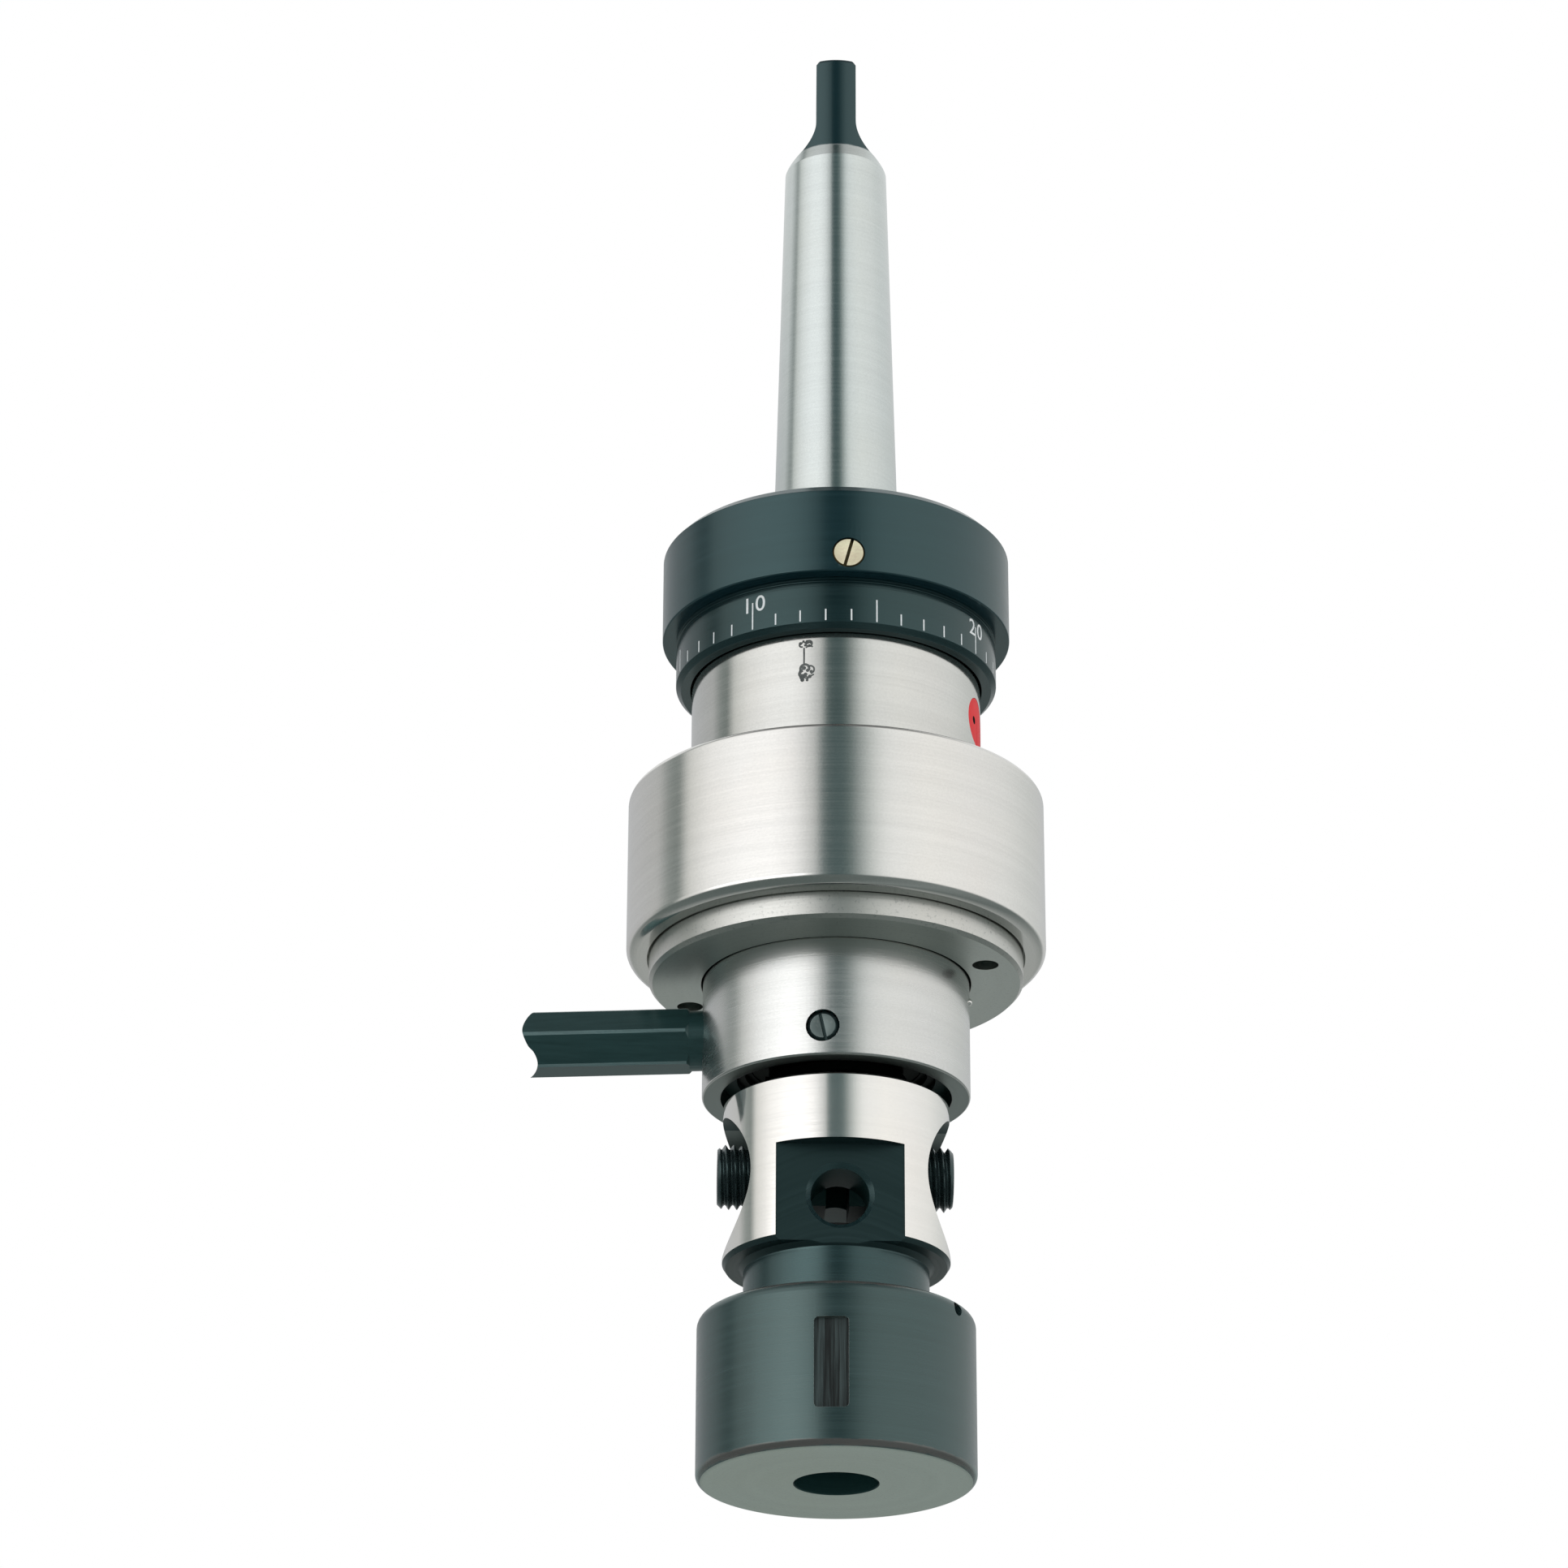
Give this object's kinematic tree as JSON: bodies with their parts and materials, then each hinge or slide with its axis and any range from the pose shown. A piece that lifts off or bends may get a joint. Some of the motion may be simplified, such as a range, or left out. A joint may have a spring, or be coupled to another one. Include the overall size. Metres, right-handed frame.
{
  "type": "tapping head",
  "caption": "Self-reversing tapping head with a Morse taper shank, a torque-setting collar, a planetary reversing gear, a torque arm and a collet chuck with jaws for the tap's square.",
  "frame": {"origin": "centre of the Morse taper's gauge plane, on the spindle axis", "axes": "+Z along the spindle axis towards the tang; -Y is the front, with the index mark and the chuck's window; -X is the side of the torque arm"},
  "size_m": [0.0983, 0.079, 0.2927],
  "materials": {
    "ground_steel": "fine ground",
    "machined_steel": "machined",
    "bearing_steel": "polished",
    "spring_steel": "phosphated",
    "black_steel": "black oxide, satin",
    "brass": "turned",
    "red_plastic": "moulded",
    "rubber": "matt"
  },
  "bodies": {
    "arbor": {"arbor": "ground_steel", "arbor_circlip": "spring_steel", "arbor_bearing_inner": "bearing_steel", "friction_discs": "machined_steel"},
    "housing": {"housing": "ground_steel", "oil_plug": "red_plastic", "steel_discs": "machined_steel", "pressure_ring": "machined_steel", "disc_springs": "spring_steel", "arbor_bearing_outer": "bearing_steel", "bearing_circlip": "spring_steel", "forward_driver": "machined_steel", "ring_gear": "machined_steel", "retainer_ring": "ground_steel", "sleeve_bearing_outer": "bearing_steel"},
    "spring_plate": {"spring_plate": "machined_steel"},
    "torque_collar": {"torque_collar": "black_steel", "scale_ring": "black_steel", "collar_lock_screw": "brass"},
    "arm_sleeve": {"arm_sleeve": "ground_steel", "torque_arm": "black_steel", "sleeve_set_screw": "black_steel", "planet_pins": "machined_steel", "sleeve_bearing_inner": "bearing_steel", "sun_bearing_outer": "bearing_steel", "spindle_bearing_outer": "bearing_steel", "bearing_spacer": "machined_steel", "sleeve_circlip": "spring_steel"},
    "planet_gear_1": {"planet_gear_1": "machined_steel"},
    "planet_gear_2": {"planet_gear_2": "machined_steel"},
    "planet_gear_3": {"planet_gear_3": "machined_steel"},
    "sun_gear": {"sun_gear": "machined_steel", "sun_bearing_inner": "bearing_steel"},
    "guide_bush": {"guide_bush": "machined_steel", "spindle_bearing_inner": "bearing_steel", "return_spring": "spring_steel"},
    "spindle": {"spindle": "ground_steel", "shift_dog": "machined_steel", "dog_circlip": "spring_steel"},
    "jaw_right": {"jaw_right": "black_steel"},
    "jaw_left": {"jaw_left": "black_steel"},
    "jaw_screw_right": {"jaw_screw_right": "black_steel"},
    "jaw_screw_left": {"jaw_screw_left": "black_steel"},
    "collet": {"collet_rubber": "rubber", "collet_blades": "machined_steel"},
    "collet_nut": {"collet_nut": "black_steel"}
  },
  "joints": [
    {"name": "clutch_slip", "type": "hinge", "parent": "arbor", "child": "housing", "pos_m": [0, 0, -0.06], "axis": [0, 0, 1], "continuous": true},
    {"name": "plate_travel", "type": "slide", "parent": "housing", "child": "spring_plate", "axis": [0, 0, 1], "range_m": [-0.00091, 0.00046], "deforming": ["disc_springs"]},
    {"name": "torque_setting", "type": "hinge", "parent": "spring_plate", "child": "torque_collar", "pos_m": [0, 0, -0.03], "axis": [0, 0, 1], "range_deg": [-216, 108]},
    {"name": "sleeve_turn", "type": "hinge", "parent": "housing", "child": "arm_sleeve", "pos_m": [0, 0, -0.1], "axis": [0, 0, 1], "continuous": true},
    {"name": "planet_1_turn", "type": "hinge", "parent": "arm_sleeve", "child": "planet_gear_1", "pos_m": [0, 0.0225, -0.083], "axis": [0, 0, 1], "continuous": true},
    {"name": "planet_2_turn", "type": "hinge", "parent": "arm_sleeve", "child": "planet_gear_2", "pos_m": [-0.01949, -0.01125, -0.083], "axis": [0, 0, 1], "continuous": true},
    {"name": "planet_3_turn", "type": "hinge", "parent": "arm_sleeve", "child": "planet_gear_3", "pos_m": [0.01949, -0.01125, -0.083], "axis": [0, 0, 1], "continuous": true},
    {"name": "sun_turn", "type": "hinge", "parent": "arm_sleeve", "child": "sun_gear", "pos_m": [0, 0, -0.085], "axis": [0, 0, 1], "continuous": true},
    {"name": "spindle_turn", "type": "hinge", "parent": "arm_sleeve", "child": "guide_bush", "pos_m": [0, 0, -0.11], "axis": [0, 0, 1], "continuous": true},
    {"name": "spindle_float", "type": "slide", "parent": "guide_bush", "child": "spindle", "axis": [0, 0, 1], "range_m": [-0.0024, 0.0024], "stiffness_N_per_m": 4000, "springref_m": 0.0019, "deforming": ["return_spring"]},
    {"name": "jaw_right_travel", "type": "slide", "parent": "spindle", "child": "jaw_right", "axis": [0.9995, 0.0314, 0], "range_m": [-0.00161, 0.00241]},
    {"name": "jaw_screw_right_turn", "type": "hinge", "parent": "jaw_right", "child": "jaw_screw_right", "pos_m": [0, 0, -0.1408], "axis": [0.9995, 0.0314, 0], "range_deg": [-384, 576]},
    {"name": "jaw_left_travel", "type": "slide", "parent": "spindle", "child": "jaw_left", "axis": [-0.9995, -0.0314, 0], "range_m": [-0.00161, 0.00241]},
    {"name": "jaw_screw_left_turn", "type": "hinge", "parent": "jaw_left", "child": "jaw_screw_left", "pos_m": [0, 0, -0.1408], "axis": [-0.9995, -0.0314, 0], "range_deg": [-384, 576]},
    {"name": "collet_travel", "type": "slide", "parent": "spindle", "child": "collet", "axis": [0, 0, 1], "range_m": [-0.00301, 0]},
    {"name": "nut_turn", "type": "hinge", "parent": "collet", "child": "collet_nut", "pos_m": [0, 0, -0.18], "axis": [0, 0, 1], "range_deg": [-720, 0]}
  ],
  "couplings": [
    {"joint": "plate_travel", "follows": "torque_setting", "m_per_rad": 0.00023873},
    {"joint": "sun_turn", "follows": "sleeve_turn", "ratio": 2},
    {"joint": "planet_1_turn", "follows": "sleeve_turn", "ratio": -4},
    {"joint": "planet_2_turn", "follows": "sleeve_turn", "ratio": -4},
    {"joint": "planet_3_turn", "follows": "sleeve_turn", "ratio": -4},
    {"joint": "jaw_right_travel", "follows": "jaw_screw_right_turn", "m_per_rad": 0.00023873},
    {"joint": "jaw_left_travel", "follows": "jaw_screw_left_turn", "m_per_rad": 0.00023873},
    {"joint": "collet_travel", "follows": "nut_turn", "m_per_rad": 0.00023873}
  ]
}
